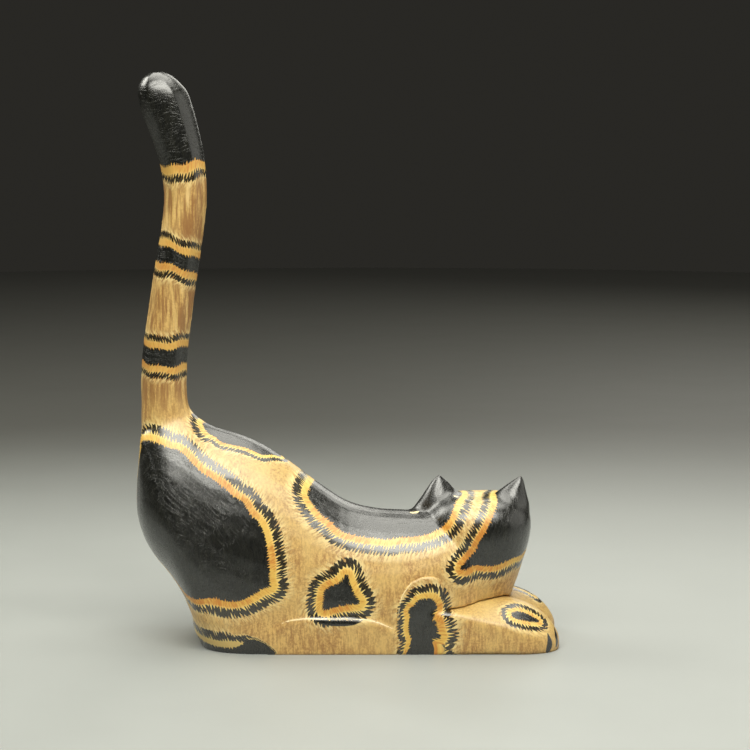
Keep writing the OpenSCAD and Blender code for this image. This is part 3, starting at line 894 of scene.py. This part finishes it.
def skin_shape():
    """The whole figure but its forelegs as one carved surface, so no seam shows in the paint."""
    parts = []
    for node in ("body", "head", "tail", "ear_left", "ear_right"):
        points, faces, normals = node_shape(node)
        parts.append((points + normals * SWELL, faces))
    parts += [arm_filler(node) for node in ("foreleg_left", "foreleg_right")]
    points, faces = remeshed(*joined(parts), SKIN_VOXEL)
    points = relaxed(points, faces, rounds=8)
    points -= normals_of(points, faces) * SWELL
    for middle, reach, shift in NUDGES:
        points = nudged(points, middle, reach, shift)
    for seat, side in EAR_SEATS.values():
        tip = ear_plane(seat, side)[1] * EAR_HEIGHT
        points = nudged(points, seat + tip, (9, 9, 9), tip * EAR_PULL)
        points = softened(points, faces, seat + Vector((0, 0, 2.5)), radius=13)
    points = softened(points, faces, TAIL_SEAT[0] + Vector((4, 0, 2)), radius=16)
    return carved(points, faces), faces


def leg_shape(node):
    """A foreleg with its paw."""
    points, faces, _ = node_shape(node)
    points, faces = remeshed(points, faces, LEG_VOXEL)
    points = relaxed(points, faces, rounds=14)
    side = np.sign(points[:, 1].mean())
    points = softened(points, faces, (50, side * 17, 12), radius=28)
    return carved(points, faces), faces


# ---------------------------------------------------------------- pieces


def painted_bmesh(name, points, faces, tree):
    """A shape with the paint's fields on its face corners."""
    mesh = mesh_of(name, points, faces)
    paint, marks = paint_fields(points, normals_of(points, faces), faces, tree)
    for title, values in (("paint", paint), ("mark", marks)):
        layer = mesh.attributes.new(title, "FLOAT_VECTOR", "CORNER")
        layer.data.foreach_set("vector", values.ravel())
    mesh.shade_smooth()
    return bmesh_of(mesh)


def cut(bm, plane, keep_above):
    """The part of a bmesh on one side of a plane, left open at the cut."""
    part = bm.copy()
    bmesh.ops.bisect_plane(
        part, geom=part.verts[:] + part.edges[:] + part.faces[:], plane_co=plane[0], plane_no=plane[1],
        clear_inner=keep_above, clear_outer=not keep_above,
    )
    return part


def open_edges(bm):
    return [e for e in bm.edges if e.is_boundary]


def bare(bm, painted):
    """Makes every face bare wood but the painted ones, flat but for the sides of a peg or bore."""
    for f in bm.faces:
        if f not in painted:
            f.material_index = 1
            f.smooth = len(f.verts) == 4
    bmesh.ops.recalc_face_normals(bm, faces=bm.faces)


def cap(bm, rim):
    """Closes an open cut flat."""
    painted = {f for f in bm.faces if f.material_index == 0}
    for e in rim:
        e.smooth = False
    bmesh.ops.triangle_fill(bm, edges=rim, use_beauty=True)
    bare(bm, painted)


def cap_round(bm, rim, plane, radius, length):
    """Closes an open cut, with a round peg or bore running down from its middle."""
    painted = {f for f in bm.faces if f.material_index == 0}
    down = plane[1].to_track_quat("Z", "Y").to_matrix().to_4x4()
    matrix = Matrix.Translation(plane[0]) @ down
    made = bmesh.ops.create_circle(bm, segments=ROUND_SIDES, radius=radius, matrix=matrix)
    ring = list({e for v in made["verts"] for e in v.link_edges})
    bmesh.ops.triangle_fill(bm, edges=rim + ring, use_beauty=True)
    out = bmesh.ops.extrude_edge_only(bm, edges=ring)["geom"]
    moved = [v for v in out if isinstance(v, bmesh.types.BMVert)]
    bmesh.ops.translate(bm, verts=moved, vec=-plane[1] * length)
    end = [e for e in out if isinstance(e, bmesh.types.BMEdge) and e.is_boundary]
    bmesh.ops.contextual_create(bm, geom=end)
    for e in rim + ring + end:
        e.smooth = False
    bare(bm, painted)


def split_ear(head, seat, side):
    """Takes the ear above its seat off the head and closes both."""
    at, up = ear_plane(seat, side)
    near = [f for f in head.faces if (f.calc_center_median() - seat).length < EAR_CUT_REACH]
    geom = list({v for f in near for v in f.verts}) + list({e for f in near for e in f.edges}) + near
    bmesh.ops.bisect_plane(head, geom=geom, plane_co=at, plane_no=up)

    def on_ear(face):
        middle = face.calc_center_median()
        return (middle - at).dot(up) > 0 and (middle - seat).length < EAR_REACH

    ear = head.copy()
    bmesh.ops.delete(ear, geom=[f for f in ear.faces if not on_ear(f)], context="FACES")
    bmesh.ops.delete(head, geom=[f for f in head.faces if on_ear(f)], context="FACES")
    for part in (ear, head):
        cap(part, open_edges(part))
    return ear


def split_skin(skin):
    """The tail, body and head of the whole skin, cut apart and closed."""
    tail = cut(skin, TAIL_SEAT, True)
    rest = cut(skin, TAIL_SEAT, False)
    head = cut(rest, NECK, True)
    body = cut(rest, NECK, False)
    skin.free()
    rest.free()
    cap_round(tail, open_edges(tail), TAIL_SEAT, PEG_R, PEG_LEN)
    cap(body, [e for e in open_edges(body) if e.verts[0].co.x > 0])
    cap_round(body, open_edges(body), TAIL_SEAT, BORE_R, BORE_LEN)
    cap(head, open_edges(head))
    return tail, body, head


def piece(name, bm, body, nodes, materials):
    """Makes a finished piece in metres, riding on its body in place of its CAD nodes."""
    mesh = bpy.data.meshes.new(name)
    bmesh.ops.scale(bm, vec=(0.001, 0.001, 0.001), verts=bm.verts)
    bm.to_mesh(mesh)
    bm.free()
    for m in materials:
        mesh.materials.append(m)
    o = bpy.data.objects.new(name, mesh)
    bpy.context.scene.collection.objects.link(o)
    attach(o, body)
    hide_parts(*nodes)


def build_cat():
    materials = [painted_wood(), bare_wood()]
    legs = {node: leg_shape(node) for node in ("foreleg_left", "foreleg_right")}
    points, faces = skin_shape()
    everything, all_faces = joined([(points, faces)] + list(legs.values()))
    tree = BVHTree.FromPolygons(everything.tolist(), all_faces)
    points = raised(points, faces, tree, LIT_EDGES, height=0.09, spread=0.5)
    points = raised(points, faces, tree, IRISES + [NOSE], height=0.45, spread=0.8)
    tail, body, head = split_skin(painted_bmesh("skin", points, faces, tree))
    for node, (seat, side) in EAR_SEATS.items():
        ear = split_ear(head, seat, side)
        piece("painted_" + node, ear, "figure", [node], materials)
    piece("painted_tail", tail, "lift_off_tail", ["tail"], materials)
    piece("painted_body", body, "figure", ["body"], materials)
    piece("painted_head", head, "figure", ["head"], materials)
    for node, (p, f) in legs.items():
        leg = painted_bmesh(node, p, f, tree)
        piece("painted_" + node, leg, "figure", [node], materials)
    for node in ("neck_dowel", "foreleg_pins_left", "foreleg_pins_right"):
        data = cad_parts[node].data
        data.materials.clear()
        data.materials.append(materials[1])


# ---------------------------------------------------------------- stage, light and camera, in metres

FLOOR_R = 1.3
WARM = (1, 0.985, 0.9)
CAMERA_AT = (0.0096, -0.8896, 0.220)
CAMERA_DIP = math.radians(8.1)  # below level
LENS = 124.8


def floor():
    bm = bmesh.new()
    bmesh.ops.create_circle(bm, cap_ends=True, segments=96, radius=FLOOR_R)
    mesh = bpy.data.meshes.new("floor")
    bm.to_mesh(mesh)
    bm.free()
    mesh.materials.append(floor_paint())
    o = bpy.data.objects.new("floor", mesh)
    bpy.context.scene.collection.objects.link(o)


def lamp(name, at, aim, size, power):
    """A soft oval lamp at a place, aimed at another."""
    data = bpy.data.lights.new(name, "AREA")
    data.shape = "ELLIPSE"
    data.size, data.size_y = size
    data.energy = power
    data.color = WARM
    o = bpy.data.objects.new(name, data)
    o.location = at
    o.rotation_euler = (Vector(aim) - Vector(at)).to_track_quat("-Z", "Y").to_euler()
    bpy.context.scene.collection.objects.link(o)


def lights():
    lamp("top", (0, 0.14, 0.7), (0, 0.05, 0), (0.8, 0.7), 5.0)
    lamp("front", (0, -0.40, 0.61), (0, 0, 0.06), (0.8, 0.44), 6.6)
    lamp("left", (-0.66, 0.32, 0.6), (-0.02, 0, 0.08), (0.5, 0.5), 3.6)
    lamp("side", (0.95, 0.0, 0.35), (0, 0, 0.1), (1.1, 0.9), 1.8)
    lamp("back", (0.3, 0.9, 0.5), (0, 0, 0.06), (0.6, 0.6), 1.8)
    world = bpy.data.worlds.new("world")
    world.use_nodes = True
    world.node_tree.nodes["Background"].inputs["Color"].default_value = (0.022, 0.021, 0.018, 1)
    bpy.context.scene.world = world


def camera():
    data = bpy.data.cameras.new("camera")
    data.sensor_width = 36
    data.lens = LENS
    o = bpy.data.objects.new("camera", data)
    o.location = CAMERA_AT
    o.rotation_euler = (math.radians(90) - CAMERA_DIP, 0, 0)
    bpy.context.scene.collection.objects.link(o)
    bpy.context.scene.camera = o
    bpy.context.scene.view_settings.view_transform = "Standard"


build_cat()
floor()
lights()
camera()
